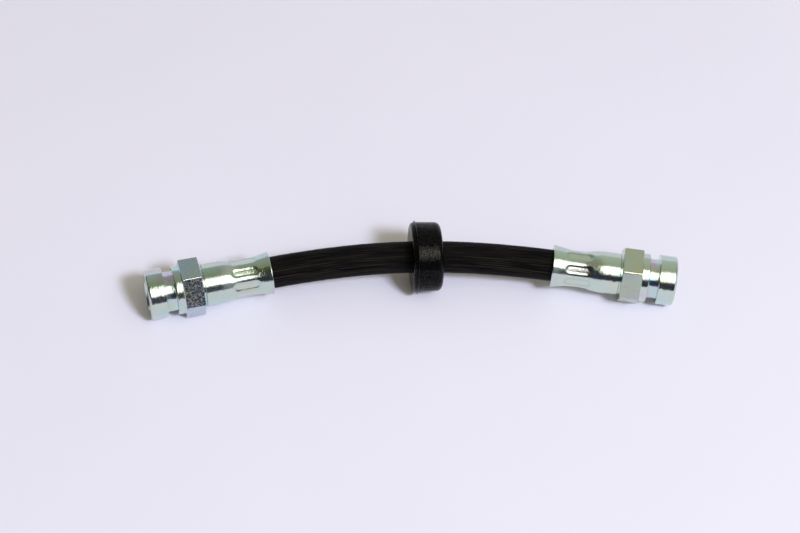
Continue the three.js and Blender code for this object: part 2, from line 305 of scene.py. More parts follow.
def plated(name, films, roughness, grain, height):
    """Plating: a colour and three tints, least and most roughness, grain along and round, in mm."""
    material, tree, shader = new_material(name)
    place = add_node(tree, "ShaderNodeTexCoord").outputs["Object"]
    patches = add_node(tree, "ShaderNodeTexNoise", {
        "Vector": place, "Scale": PER_METRE / TINT_PATCH, "Detail": 2.0, "Roughness": 0.5,
    }).outputs["Color"]
    split = add_node(tree, "ShaderNodeSeparateColor", {"Color": patches})
    tint = colour(films[0])
    for channel, film in zip(("Red", "Green", "Blue"), films[1:]):
        amount = add_node(tree, "ShaderNodeMapRange", {
            "Value": split.outputs[channel], "From Min": TINT_BEGINS, "From Max": TINT_FULL,
        }, interpolation_type="SMOOTHSTEP").outputs["Result"]
        tint = add_node(tree, "ShaderNodeMix", {
            "Factor": amount, 6: tint, 7: colour(film),
        }, data_type="RGBA").outputs[2]
    # Painted shade: the plating is darkened halfway up the wall of each crimp dent.
    painted_shade = add_node(tree, "ShaderNodeAttribute", attribute_name="painted_shade").outputs["Fac"]
    painted_shade_tint = add_node(tree, "ShaderNodeMix", {
        "Factor": painted_shade, 6: tint, 7: colour(DENT_PAINTED_SHADE),
    }, data_type="RGBA").outputs[2]
    tree.links.new(painted_shade_tint, shader.inputs["Base Color"])
    shader.inputs["Metallic"].default_value = 1.0

    lathe_place = add_node(tree, "ShaderNodeAttribute", attribute_name="turned_place").outputs["Vector"]
    along, around = grain
    stretched = add_node(tree, "ShaderNodeVectorMath", {
        0: lathe_place, 1: (1 / along, 1 / around, 1 / around),
    }, operation="MULTIPLY").outputs["Vector"]
    marks = add_node(tree, "ShaderNodeTexNoise", {
        "Vector": stretched, "Scale": 1.0, "Detail": 3.0, "Roughness": 0.55,
    }).outputs["Fac"]
    dull = add_node(tree, "ShaderNodeMapRange", {
        "Value": marks, "From Min": MARKS_LOW, "From Max": MARKS_HIGH,
        "To Min": roughness[0], "To Max": roughness[1],
    }).outputs["Result"]
    tree.links.new(dull, shader.inputs["Roughness"])
    relief = add_node(tree, "ShaderNodeBump", {
        "Height": marks, "Distance": height * MM, "Strength": 1.0,
    })
    tree.links.new(relief.outputs["Normal"], shader.inputs["Normal"])
    return material


zinc_on_turned_steel = plated(
    "zinc_on_turned_steel", ("#CBDBD0", "#BCDCE2", "#D4CAD4", "#D2D8C4"),
    roughness=(0.09, 0.16), grain=(0.5, 1.3), height=0.07,
)
zinc_in_groove = plated(
    "zinc_in_groove", ("#C4DAD6", "#A0D2E2", "#DCBCDA", "#D4DCB0"),
    roughness=(0.1, 0.16), grain=(0.5, 1.3), height=0.07,
)
zinc_on_crimped_sleeve = plated(
    "zinc_on_crimped_sleeve", ("#CADACE", "#C2DAD8", "#CCD0CE", "#D0D6C6"),
    roughness=(0.1, 0.17), grain=(0.5, 0.9), height=0.055,
)
zinc_on_pitted_bar = plated(
    "zinc_on_pitted_bar", ("#BAC6CE", "#B0C8D0", "#C2C2CE", "#BEC6BC"),
    roughness=(0.13, 0.32), grain=(0.6, 0.5), height=0.03,
)
zinc_on_smooth_bar = plated(
    "zinc_on_smooth_bar", ("#C6D2C2", "#BCD0C8", "#C8CCC6", "#CACEB8"),
    roughness=(0.2, 0.26), grain=(0.9, 0.35), height=0.025,
)
bar_finish = {"left": zinc_on_pitted_bar, "right": zinc_on_smooth_bar}
TURNED, BAR, SLEEVE, GROOVE = 0, 1, 2, 3  # a finish's place in a fitting's list
print("plating", [m.name for m in bpy.data.materials])

# %% [markdown]
# A fitting is turned from hexagon bar: a collar, a clip groove and a shoulder, then what is left
# of the hexagon, a narrow neck and a thin sleeve. The sleeve was slid over the hose and squeezed
# by eight jaws, which left eight long dents and drew the sleeve in to a waist. Inside the collar
# is the threaded socket. It is one piece, so it is one skin: its rings run along the outside,
# back through the inside, and meet at the outer end.

# %% Sizes of a fitting, in millimetres from its outer end
COLLAR_LENGTH, COLLAR_RADIUS, COLLAR_CHAMFER = 5.7, 8.15, 0.5
GROOVE_END, GROOVE_RADIUS = 9.0, 6.5
SHOULDER_RADIUS, SHOULDER_ROUNDING = 8.0, 0.35
HEX_START, HEX_END, ACROSS_FLATS = 11.5, 17.9, 17.0
HEX_CHAMFER_DEPTH, HEX_CHAMFER_REACH, HEX_ROUNDING = 0.2, 0.45, 0.5
SLEEVE_START, SLEEVE_RADIUS, NECK_RADIUS = 18.7, 6.85, 6.5
MOUTH_RADIUS, MOUTH_ROUNDING = 7.0, 0.25
EDGE = 0.12  # broken edges
FILLET = 0.2  # where a wall meets a floor
SOCKET_RADIUS, SOCKET_CHAMFER, SOCKET_DEPTH, SEAT_BOTTOM = 5.0, 0.6, 12.5, 14.9
THREAD_PITCH, THREAD_DEPTH, RINGS_PER_TURN = 1.0, 0.54, 6
INSERT_HOLE, CAVITY_BOTTOM, BORE_RADIUS, CRIMP_BORE = 1.6, 21.1, 5.5, 4.8
NARROWING, WIDENING = 2.2, 1.8  # of the bore, from the mouth and beyond the dents
FITTING_LENGTH = places["left"]["length"] / MM

# %% Columns of a fitting's skin
EVEN_COLUMNS = 336
corner_offsets = np.radians([-1, -2 / 3, -1 / 3, 1 / 3, 2 / 3, 1])
even = np.arange(EVEN_COLUMNS) * math.tau / EVEN_COLUMNS
near_corners = [k * math.tau / 6 + offset for k in range(6) for offset in corner_offsets]
columns = np.sort(np.concatenate([even, np.array(near_corners) % math.tau]))
print("columns round a fitting", len(columns))


def hexagon_radius(angles):
    """Distance from the axis to a hexagon with slightly rounded corners. Angle 0 is a corner."""
    from_corner = (angles + math.pi / 6) % (math.pi / 3) - math.pi / 6
    flat = ACROSS_FLATS / 2 / np.cos(math.pi / 6 - np.abs(from_corner))
    centre = ACROSS_FLATS / math.sqrt(3) - HEX_ROUNDING / math.sin(math.pi / 3)
    root = np.maximum(HEX_ROUNDING**2 - (centre * np.sin(from_corner)) ** 2, 0)
    rounded = centre * np.cos(from_corner) + np.sqrt(root)
    reach = math.atan2(HEX_ROUNDING / 2, centre + HEX_ROUNDING * math.cos(math.pi / 6))
    return np.where(np.abs(from_corner) < reach, rounded, flat)


# %% [markdown]
# Eight jaws pressed round-ended dents into the sleeve. A jaw's face is a little hollow, so a dent's
# floor is rounder than a flat but flatter than the sleeve. It bows along the sleeve as well, and
# rises at its ends. A gentle wall joins the floor to the sleeve round it. Painted shade darkens the
# plating halfway up that wall, so each dent reads as a soft outline.

# %% The crimped sleeve
DENTS, DENT_START, DENT_LENGTH, DENT_WIDTH = 8, 3.9, 9.6, 4.1
DENT_WALL = 1.3  # mm, how wide the wall of a dent is
# How dark the painted shade on a dent's wall gets.
DENT_PAINTED_SHADE_STRENGTH = 0.15
DENT_MARGIN, DENT_RING_STEP = 0.2, 0.12  # close rings: how far past the dents, how far apart
DENT_FLOOR, DENT_BOW, JAW_HOLLOW = 5.82, 0.24, 13.0
WAIST_START, WAIST_END, WAIST_RISE, WAIST_RADIUS = 7.8, 9.6, 7.6, 6.1


def eased(value, start, finish):
    """0 before start, 1 after finish and smooth between them."""
    share = np.clip((value - start) / (finish - start), 0, 1)
    return share * share * (3 - 2 * share)


def round_sleeve(from_mouth):
    """Radius of the sleeve between its dents: flared at the mouth, plain beyond the waist."""
    to_mouth = np.clip((WAIST_START - from_mouth) / (WAIST_START - MOUTH_ROUNDING), 0, 1)
    beyond = eased(from_mouth, WAIST_END, WAIST_END + WAIST_RISE)
    flare = (MOUTH_RADIUS - WAIST_RADIUS) * to_mouth**2
    return WAIST_RADIUS + flare + (SLEEVE_RADIUS - WAIST_RADIUS) * beyond


def crimped(from_mouth, angles, crimp_turn):
    """The sleeve with its dents at one distance from the mouth: radius and painted shade at all angles.
    """
    plain = round_sleeve(from_mouth)
    pitch = math.tau / DENTS
    off = (angles - crimp_turn + pitch / 2) % pitch - pitch / 2
    sideways = plain * np.sin(off)
    middle = DENT_START + DENT_LENGTH / 2
    straight = DENT_LENGTH / 2 - DENT_WIDTH / 2
    beyond = max(abs(from_mouth - middle) - straight, 0)
    outside = np.hypot(beyond, sideways) - DENT_WIDTH / 2
    bow = DENT_BOW * (abs(from_mouth - middle) / (DENT_LENGTH / 2)) ** 3
    height = DENT_FLOOR + bow - sideways**2 / (2 * JAW_HOLLOW)
    floor = np.minimum(np.hypot(height, sideways), plain)
    wall = eased(outside, -DENT_WALL, 0)
    # The second value is painted shade, strongest halfway up a dent's wall.
    return plain + (floor - plain) * (1 - wall), DENT_PAINTED_SHADE_STRENGTH * 4 * wall * (1 - wall)


# %% Rings of a fitting


def rounding(along, radius, size, start, finish, steps=5):
    """Points of a rounded edge in the fitting's section, between two angles in degrees."""
    angles = np.radians(np.linspace(start, finish, steps))
    return [(along + size * math.cos(a), radius + size * math.sin(a)) for a in angles]


def fitting_rings(crimp_turn):
    """Each ring as (distance along, radius, finish, painted shade) at every column, outside, then
    inside.
    """
    zeros = np.zeros_like(columns)
    rings = []

    def add(along, radius, finish=TURNED, painted_shade=0):
        rings.append((along + zeros, radius + zeros, finish, painted_shade + zeros))

    add(0, COLLAR_RADIUS - COLLAR_CHAMFER - EDGE)
    add(EDGE / 2, COLLAR_RADIUS - COLLAR_CHAMFER)
    add(COLLAR_CHAMFER, COLLAR_RADIUS - EDGE / 2)
    for inset in (EDGE, 2 * EDGE):
        add(COLLAR_CHAMFER + inset, COLLAR_RADIUS)
    for inset in (2 * EDGE, EDGE):
        add(COLLAR_LENGTH - inset, COLLAR_RADIUS)
    add(COLLAR_LENGTH, COLLAR_RADIUS - EDGE)
    for along, radius in rounding(COLLAR_LENGTH + FILLET, GROOVE_RADIUS + FILLET, FILLET, 180, 270):
        add(along, radius, GROOVE)
    for along, radius in rounding(GROOVE_END - FILLET, GROOVE_RADIUS + FILLET, FILLET, 270, 360):
        add(along, radius, GROOVE)
    shoulder = rounding(
        GROOVE_END + SHOULDER_ROUNDING, SHOULDER_RADIUS - SHOULDER_ROUNDING, SHOULDER_ROUNDING,
        180, 90,
    )
    for along, radius in shoulder:
        add(along, radius)
    add(GROOVE_END + SHOULDER_ROUNDING + EDGE, SHOULDER_RADIUS)
    add(HEX_START - 2 * EDGE, SHOULDER_RADIUS)
    add(HEX_START - EDGE, SHOULDER_RADIUS)

    hexagon = hexagon_radius(columns)
    face_reach = ACROSS_FLATS / math.sqrt(3) - HEX_CHAMFER_REACH
    slope = HEX_CHAMFER_DEPTH / HEX_CHAMFER_REACH
    taken = np.maximum((hexagon - face_reach) * slope, EDGE)
    face = np.minimum(hexagon - EDGE, face_reach)
    add(HEX_START, SHOULDER_RADIUS + EDGE, BAR)
    add(HEX_START, face, BAR)
    for share in np.linspace(0, 1, 8):
        add(HEX_START + taken + share * (HEX_END - HEX_START - 2 * taken), hexagon, BAR)
    add(HEX_END, face, BAR)
    add(HEX_END, NECK_RADIUS + FILLET)
    add(HEX_END + FILLET, NECK_RADIUS)
    add(SLEEVE_START - FILLET, NECK_RADIUS, SLEEVE)
    add(SLEEVE_START, SLEEVE_RADIUS - EDGE, SLEEVE)

    length = FITTING_LENGTH
    plain_end = length - WAIST_END - WAIST_RISE
    add(SLEEVE_START + EDGE, SLEEVE_RADIUS, SLEEVE)
    for along in np.linspace(SLEEVE_START + 2 * EDGE, plain_end, 10):
        add(along, SLEEVE_RADIUS, SLEEVE)
    dents_from, dents_to = length - DENT_START - DENT_LENGTH, length - DENT_START
    close_to = dents_to + DENT_MARGIN
    crimped_rings = [
        *np.linspace(plain_end + 2 * DENT_MARGIN, dents_from - DENT_MARGIN, 6),
        *np.arange(dents_from - DENT_MARGIN / 2, close_to, DENT_RING_STEP),
        *np.linspace(close_to + DENT_MARGIN / 2, length - MOUTH_ROUNDING - EDGE, 8),
    ]
    for along in crimped_rings:
        radius, painted_shade = crimped(length - along, columns, crimp_turn)
        add(along, radius, SLEEVE, painted_shade)
    mouth_edge = rounding(
        length - MOUTH_ROUNDING, MOUTH_RADIUS - MOUTH_ROUNDING, MOUTH_ROUNDING, 90, 0,
    )
    for along, radius in mouth_edge:
        add(along, radius, SLEEVE)

    add(length, BORE_RADIUS + FILLET, SLEEVE)
    add(length - FILLET, BORE_RADIUS)
    add(length - NARROWING, BORE_RADIUS)
    add(dents_to, CRIMP_BORE)
    add(dents_from, CRIMP_BORE)
    add(dents_from - WIDENING, BORE_RADIUS)
    add(CAVITY_BOTTOM, BORE_RADIUS)
    add(CAVITY_BOTTOM, INSERT_HOLE)
    add(SEAT_BOTTOM, INSERT_HOLE)
    add(SOCKET_DEPTH + FILLET, SOCKET_RADIUS - FILLET)
    turns = SOCKET_DEPTH / THREAD_PITCH
    for along in np.linspace(SOCKET_DEPTH, SOCKET_CHAMFER, int(turns * RINGS_PER_TURN)):
        winding = (along / THREAD_PITCH - columns / math.tau) % 1
        crest = np.abs(2 * winding - 1)
        begun = eased(along, SOCKET_CHAMFER, 2 * SOCKET_CHAMFER)
        ended = eased(along, SOCKET_DEPTH - 2 * THREAD_PITCH, SOCKET_DEPTH - THREAD_PITCH)
        add(along, SOCKET_RADIUS - THREAD_DEPTH * crest * begun * (1 - ended))
    add(0, SOCKET_RADIUS + SOCKET_CHAMFER)
    return rings


# %% Build both fittings
for side, place in places.items():
    rings = fitting_rings(math.radians(CRIMP_TURN[side]))
    cross = np.outer(np.cos(columns), place["first"]) + np.outer(np.sin(columns), place["second"])
    points = [
        place["end"] + MM * (np.outer(along, place["inwards"]) + cross * radius[:, None])
        for along, radius, _, _ in rings
    ]
    fitting = skin(
        side + "_fitting_body", points,
        [zinc_on_turned_steel, bar_finish[side], zinc_on_crimped_sleeve, zinc_in_groove],
        [finish for _, _, finish, _ in rings],
    )
    turned_place = [
        np.stack([along, radius * np.cos(columns), radius * np.sin(columns)], axis=1)
        for along, radius, _, _ in rings
    ]
    add_attribute(fitting, "turned_place", np.concatenate(turned_place))
    # Painted shade for the dents' walls, which the plating reads.
    add_numbers(fitting, "painted_shade", np.concatenate([painted_shade for _, _, _, painted_shade in rings]))
    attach(fitting, "root")
    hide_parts(side + "_end_fitting")

# %% [markdown]
# The cover is EPDM rubber, extruded over the braid through a die with fine notches, so fine ribs
# run along it. Carbon black makes it nearly black, and its dry, matt face gives hardly any gloss.
# Dust, and a painted sheen where the tops of the ribs would catch the light, make the tops of some
# ribs a little brown, in long broken streaks, while the gaps stay black. The ribs are in the mesh;
# the rubber's own grain is bump.

# %% Extruded rubber of the hose
RUBBER_GRAIN, RUBBER_RELIEF = 0.25, 0.03  # mm
STREAK_WIDTH, STREAK_LENGTH = 0.5, 12.0  # mm
COVER_RIB_HEIGHT = 0.1  # mm


def extruded_rubber():
    """EPDM, extruded: matt black, with broken brown streaks of dust and painted sheen on its rib tops.
    """
    material, tree, shader = new_material("extruded_epdm_rubber")
    place = add_node(tree, "ShaderNodeTexCoord").outputs["Object"]
    hose_place = add_node(tree, "ShaderNodeAttribute", attribute_name="hose_place").outputs["Vector"]
    stretched = add_node(tree, "ShaderNodeVectorMath", {
        0: hose_place, 1: (1 / STREAK_LENGTH, 1 / STREAK_WIDTH, 1 / STREAK_WIDTH),
    }, operation="MULTIPLY").outputs["Vector"]
    streaks = add_node(tree, "ShaderNodeTexNoise", {
        "Vector": stretched, "Scale": 1.0, "Detail": 3.0,
    }).outputs["Fac"]
    broken = add_node(tree, "ShaderNodeMapRange", {
        "Value": streaks, "From Min": 0.4, "From Max": 0.62,
    }, interpolation_type="SMOOTHSTEP").outputs["Result"]
    rib = add_node(tree, "ShaderNodeAttribute", attribute_name="rib_height").outputs["Fac"]
    dust_and_sheen = add_node(tree, "ShaderNodeMath", {
        0: rib, 1: broken,
    }, operation="MULTIPLY").outputs["Value"]
    # Dust and painted sheen: broken streaks on the rib tops are browner than the gaps.
    shade = add_node(tree, "ShaderNodeMix", {
        "Factor": dust_and_sheen, 6: colour("#060507"), 7: colour("#2A2620"),
    }, data_type="RGBA").outputs[2]
    tree.links.new(shade, shader.inputs["Base Color"])
    shader.inputs["IOR"].default_value = 1.5
    shader.inputs["Specular IOR Level"].default_value = 0.045
    shader.inputs["Roughness"].default_value = 0.5
    grain = add_node(tree, "ShaderNodeTexNoise", {
        "Vector": place, "Scale": PER_METRE / RUBBER_GRAIN, "Detail": 2.0,
    }).outputs["Fac"]
    bump = add_node(tree, "ShaderNodeBump", {
        "Height": grain, "Distance": RUBBER_RELIEF * MM, "Strength": 1.0,
    })
    tree.links.new(bump.outputs["Normal"], shader.inputs["Normal"])
    return material


cover_rubber = extruded_rubber()

# %% [markdown]
# The hose is one skin as well: rings of the outside from one cut end to the other, then the wall's
# inside back again. It is the full cut length, so it also runs, squeezed, inside the two sleeves.
# Forty-four ribs run round it. A worn die leaves some of them low, and the cover's drag in the die
# makes each swell and sink a little along the hose, which roughens the hose's outline.

# %% The ribbed hose
HOSE_RADIUS, SQUEEZED_RADIUS, COVER_BORE = 5.25, 4.6, 3.9
RIBS, COLUMNS_PER_RIB = 44, 6
DRAG_HEIGHT = 0.07  # mm that a rib swells and sinks
HOSE_RING_STEP, INSIDE_RINGS = 0.6, 30
SQUEEZE_BEGINS, SQUEEZE_FULL = 2.2, 0.4  # mm beyond the dents
hose_rng = np.random.default_rng(7)
rib_strength = hose_rng.uniform(0.35, 1.0, RIBS)
hose_angles = np.arange(RIBS * COLUMNS_PER_RIB) * math.tau / (RIBS * COLUMNS_PER_RIB)
rib_wave = 0.5 - 0.5 * np.cos(hose_angles * RIBS)
rib_shape = rib_wave * rib_strength[np.arange(len(hose_angles)) // COLUMNS_PER_RIB]


def squeezed(distance):
    """How far the hose is squeezed at a distance along it, from 0 in the open to 1 under a crimp."""
    inside = max(INSERTED / MM - distance, distance - (HOSE_LENGTH - INSERTED) / MM)
    crimp_end = DENT_START + DENT_LENGTH
    begun = eased(inside, DENT_START - SQUEEZE_BEGINS, DENT_START - SQUEEZE_FULL)
    ended = eased(inside, crimp_end + SQUEEZE_FULL, crimp_end + SQUEEZE_BEGINS)
    return begun * (1 - ended)


def hose_ring(distance, radii):
    """A ring of the hose at a distance along it, in millimetres."""
    point, direction = along_hose(np.array([distance * MM]))
    sideways = unit(np.cross(bend_up, direction[0]))
    cross = np.outer(np.cos(hose_angles), sideways) + np.outer(np.sin(hose_angles), bend_up)
    return point[0] + MM * cross * radii[:, None]


cut_length = HOSE_LENGTH / MM
outside_places = np.linspace(0, cut_length, int(cut_length / HOSE_RING_STEP))
rings, heights, hose_places = [], [], []
for distance in outside_places:
    squeeze = squeezed(distance)
    radius = HOSE_RADIUS + (SQUEEZED_RADIUS - HOSE_RADIUS) * squeeze - COVER_RIB_HEIGHT
    drag = np.repeat(hose_rng.uniform(0, DRAG_HEIGHT, RIBS), COLUMNS_PER_RIB)
    radii = radius + (COVER_RIB_HEIGHT - drag) * rib_shape
    rings.append(hose_ring(distance, radii))
    heights.append(rib_shape)
    around = np.stack([np.cos(hose_angles), np.sin(hose_angles)], axis=1) * HOSE_RADIUS
    hose_places.append(np.column_stack([np.full(len(hose_angles), distance), around]))
for distance in np.linspace(cut_length, 0, INSIDE_RINGS):
    rings.append(hose_ring(distance, np.full(len(hose_angles), COVER_BORE)))
    heights.append(np.zeros(len(hose_angles)))
    hose_places.append(hose_places[0])

hose = skin("ribbed_hose_cover", rings, [cover_rubber])
add_attribute(hose, "hose_place", np.concatenate(hose_places))
add_numbers(hose, "rib_height", np.concatenate(heights))
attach(hose, "root")
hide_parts("hose_outer_cover")

print("hose of", round(HOSE_LENGTH, 4), "m")

# %% [markdown]
# The ring is moulded in natural rubber. The mould parted at its left shoulder and left a thin
# flash there, and the ring gets a little slimmer from there to its right end, so that it left the
# mould. Its skin is smoother than the hose's, so the overhead softbox, and the glowing card before
# it, show in it, broken up by a fine speckle.

# %% Moulded rubber of the ring
SPECKLE = 0.6  # mm


def moulded_rubber():
    """Natural rubber from a polished mould: black, satin, finely speckled."""
    material, tree, shader = new_material("moulded_natural_rubber")
    place = add_node(tree, "ShaderNodeTexCoord").outputs["Object"]
    speckle = add_node(tree, "ShaderNodeTexNoise", {
        "Vector": place, "Scale": PER_METRE / SPECKLE, "Detail": 3.0, "Roughness": 0.55,
    }).outputs["Fac"]
    shade = add_node(tree, "ShaderNodeMix", {
        "Factor": speckle, 6: colour("#040406"), 7: colour("#0A0909"),
    }, data_type="RGBA").outputs[2]
    tree.links.new(shade, shader.inputs["Base Color"])
    shader.inputs["IOR"].default_value = 1.52
    gloss = add_node(tree, "ShaderNodeMapRange", {
        "Value": speckle, "From Min": 0.38, "From Max": 0.65, "To Min": 0.03, "To Max": 0.17,
    }).outputs["Result"]
    tree.links.new(gloss, shader.inputs["Specular IOR Level"])
    rough = add_node(tree, "ShaderNodeMapRange", {
        "Value": speckle, "From Min": 0.35, "From Max": 0.65, "To Min": 0.1, "To Max": 0.22,
    }).outputs["Result"]
    tree.links.new(rough, shader.inputs["Roughness"])
    bump = add_node(tree, "ShaderNodeBump", {
        "Height": speckle, "Distance": RUBBER_RELIEF * MM, "Strength": 1.0,
    })
    tree.links.new(bump.outputs["Normal"], shader.inputs["Normal"])
    return material


ring_rubber = moulded_rubber()

# %% The rubber ring
RING_RADIUS, SLIM_RADIUS, RING_BORE, BORE_CHAMFER = 11.65, 11.37, 5.35, 0.2
LEFT_ROUNDING, RIGHT_ROUNDING = 1.45, 1.9
FLASH_HEIGHT, FLASH_WIDTH = 0.5, 0.25
FLASH_RAGGED = 0.3  # share of the flash's height that comes and goes
BORE_MARGIN, ROUNDING_MARGIN = 1.2, 0.3  # from the bore and from a rounding to the next ring
RING_COLUMNS = 288
on_ring_axis, ring_axis = axis_of("rubber_ring")
ring_along = (corners_of("rubber_ring") - on_ring_axis) @ ring_axis / MM
ring_left, ring_right = ring_along.min(), ring_along.max()
print("ring", round(ring_right - ring_left, 2), "mm wide")

ring_angles = np.arange(RING_COLUMNS) * math.tau / RING_COLUMNS
ragged = sum(np.cos(ring_angles * k + k * k) for k in (3, 7, 12, 19, 31)) / 5
flash = ring_left + LEFT_ROUNDING
draft_from = (flash + 2 * ROUNDING_MARGIN, RING_RADIUS)
draft_to = (ring_right - RIGHT_ROUNDING - ROUNDING_MARGIN, SLIM_RADIUS)
left_face = np.linspace(RING_BORE + BORE_MARGIN, RING_RADIUS - LEFT_ROUNDING - ROUNDING_MARGIN, 6)
right_face = np.linspace(SLIM_RADIUS - RIGHT_ROUNDING - ROUNDING_MARGIN, RING_BORE + BORE_MARGIN, 4)
outline = [
    (ring_left, RING_BORE + BORE_CHAMFER),
    *[(ring_left, radius) for radius in left_face],
    *rounding(flash, RING_RADIUS - LEFT_ROUNDING, LEFT_ROUNDING, 180, 92, 8),
    (flash + 0.02, RING_RADIUS + FLASH_HEIGHT * 0.8),
    (flash + 0.08, RING_RADIUS + FLASH_HEIGHT),
    (flash + FLASH_WIDTH, RING_RADIUS + FLASH_HEIGHT * 0.7),
    (flash + FLASH_WIDTH + 0.06, RING_RADIUS),
    *np.linspace(draft_from, draft_to, 8),
    *rounding(ring_right - RIGHT_ROUNDING, SLIM_RADIUS - RIGHT_ROUNDING, RIGHT_ROUNDING, 90, 0, 12),
    *[(ring_right, radius) for radius in right_face],
    (ring_right, RING_BORE + BORE_CHAMFER),
    (ring_right - BORE_CHAMFER, RING_BORE),
    *[(along, RING_BORE) for along in np.linspace(ring_right - 1, ring_left + 1, 4)],
    (ring_left + BORE_CHAMFER, RING_BORE),
]
ring_first = unit(np.cross(ring_axis, [0, 0, 1]))
ring_second = np.cross(ring_axis, ring_first)
ring_cross = np.outer(np.cos(ring_angles), ring_first) + np.outer(np.sin(ring_angles), ring_second)
rings = []
for along, radius in outline:
    over = max(radius - RING_RADIUS, 0)
    radii = radius + over * FLASH_RAGGED * ragged
    points = on_ring_axis + MM * (along * ring_axis + ring_cross * radii[:, None])
    points[:, 2] = np.maximum(points[:, 2], 0)
    rings.append(points)
ring = skin("moulded_rubber_ring", rings, [ring_rubber])
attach(ring, "root")
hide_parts("rubber_ring")

# %% [markdown]
# Inside lie the pieces that nobody sees unless a fitting is cut open. They keep the shapes that
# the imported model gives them, and each still gets a finish of its own: drawn steel for the insert
# tubes, smooth rubber for the tube and the middle layer, and braided yarn for the two braids.

# %% Finishes of the pieces inside
YARN_WIDTH, STEEL_MOTTLE, RUBBER_CLOUD = 0.8, 0.25, 2.0  # mm


def drawn_steel():
    """Low-carbon steel tube, drawn: grey and finely mottled."""
    material, tree, shader = new_material("drawn_steel_tube")
    place = add_node(tree, "ShaderNodeTexCoord").outputs["Object"]
    mottle = add_node(tree, "ShaderNodeTexNoise", {
        "Vector": place, "Scale": PER_METRE / STEEL_MOTTLE, "Detail": 2.0,
    }).outputs["Fac"]
    shade = add_node(tree, "ShaderNodeMix", {
        "Factor": mottle, 6: colour("#9A9C9E"), 7: colour("#B4B6B8"),
    }, data_type="RGBA").outputs[2]
    tree.links.new(shade, shader.inputs["Base Color"])
    shader.inputs["Metallic"].default_value = 1.0
    shader.inputs["Roughness"].default_value = 0.35
    return material


def smooth_rubber():
    """EPDM tube, extruded: black and faintly clouded."""
    material, tree, shader = new_material("smooth_epdm_rubber")
    place = add_node(tree, "ShaderNodeTexCoord").outputs["Object"]
    cloud = add_node(tree, "ShaderNodeTexNoise", {
        "Vector": place, "Scale": PER_METRE / RUBBER_CLOUD,
    }).outputs["Fac"]
    shade = add_node(tree, "ShaderNodeMix", {
        "Factor": cloud, 6: colour("#151516"), 7: colour("#1F1F21"),
    }, data_type="RGBA").outputs[2]
    tree.links.new(shade, shader.inputs["Base Color"])
    shader.inputs["Roughness"].default_value = 0.6
    return material


def braided_yarn():
    """Polyester yarn, braided: off-white, with the chequer of strands crossing over."""
    material, tree, shader = new_material("braided_polyester_yarn")
    place = add_node(tree, "ShaderNodeTexCoord").outputs["Object"]
    chequer = add_node(tree, "ShaderNodeTexChecker", {
        "Vector": place, "Scale": PER_METRE / YARN_WIDTH,
        "Color1": colour("#D8D2C0"), "Color2": colour("#B9B29E"),
    }).outputs["Color"]
    tree.links.new(chequer, shader.inputs["Base Color"])
    shader.inputs["Roughness"].default_value = 0.9
    return material


insides = {
    "left_insert_tube": drawn_steel(),
    "hose_inner_tube": smooth_rubber(),
    "hose_inner_braid": braided_yarn(),
}
insides["right_insert_tube"] = insides["left_insert_tube"]
insides["hose_middle_layer"] = insides["hose_inner_tube"]
insides["hose_outer_braid"] = insides["hose_inner_braid"]
for name, material in insides.items():
    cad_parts[name].data.materials.clear()
    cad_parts[name].data.materials.append(material)
print("finished inside", sorted(insides))

# %% [markdown]
# The table is a wide pale sheet with the faint lavender of white paper in cool light. A softbox
# three metres away, on the camera's side and to its right, throws soft shadows to the left. A larger
# one hangs overhead and, with the world, fills them with warmer light. Each light is given by how
# bright it makes a white table, so that together they come to about one. Bright metal shows what
# stands round it, so it needs something darker to reflect beside the overhead softbox: cards low
# behind the camera, at both sides and behind the hose, seen only in reflections. One more card is
# bright and hangs before the overhead softbox: it puts the glare on the rubber ring. The far softbox
# is kept out of the reflections, because its own glare would burn out the bands along the metal.

# %% Table
TABLE_HALF = 4.0
table_material, table_tree, table_shader = new_material("white_paper")
paper_place = add_node(table_tree, "ShaderNodeTexCoord").outputs["Object"]
paper_cloud = add_node(table_tree, "ShaderNodeTexNoise", {
    "Vector": paper_place, "Scale": 12.0,
}).outputs["Fac"]
paper_shade = add_node(table_tree, "ShaderNodeMix", {
    "Factor": paper_cloud, 6: colour("#EAE8F4"), 7: colour("#EEECF8"),
}, data_type="RGBA").outputs[2]
table_tree.links.new(paper_shade, table_shader.inputs["Base Color"])
table_shader.inputs["Roughness"].default_value = 0.9
table_shader.inputs["Specular IOR Level"].default_value = 0.0


def flat_sheet(name, corners, material):
    """A flat piece of the stage, with four corners in order."""
    mesh = bpy.data.meshes.new(name)
    mesh.from_pydata(corners, [], [(0, 1, 2, 3)])
    mesh.materials.append(material)
    sheet = bpy.data.objects.new(name, mesh)
    bpy.context.scene.collection.objects.link(sheet)
    return sheet


flat_sheet("table", [
    (-TABLE_HALF, -TABLE_HALF, 0), (TABLE_HALF, -TABLE_HALF, 0),
    (TABLE_HALF, TABLE_HALF, 0), (-TABLE_HALF, TABLE_HALF, 0),
], table_material)

# %% World
FILL = colour("#9A9686")
PALE = colour("#E6E4F0")
world = bpy.data.worlds.new("studio")
bpy.context.scene.world = world
world.use_nodes = True
world_tree = world.node_tree
world_tree.nodes.clear()
ray = add_node(world_tree, "ShaderNodeLightPath")
seen = ray.outputs["Is Camera Ray"]
for kind in ("Is Glossy Ray", "Is Transmission Ray"):
    seen = add_node(world_tree, "ShaderNodeMath", {
        0: seen, 1: ray.outputs[kind],
    }, operation="MAXIMUM").outputs["Value"]
sky = add_node(world_tree, "ShaderNodeMix", {
    "Factor": seen, 6: FILL, 7: PALE,
}, data_type="RGBA").outputs[2]
background = add_node(world_tree, "ShaderNodeBackground", {"Color": sky, "Strength": 1.0})
add_node(world_tree, "ShaderNodeOutputWorld", {"Surface": background.outputs["Background"]})

# %% Softboxes


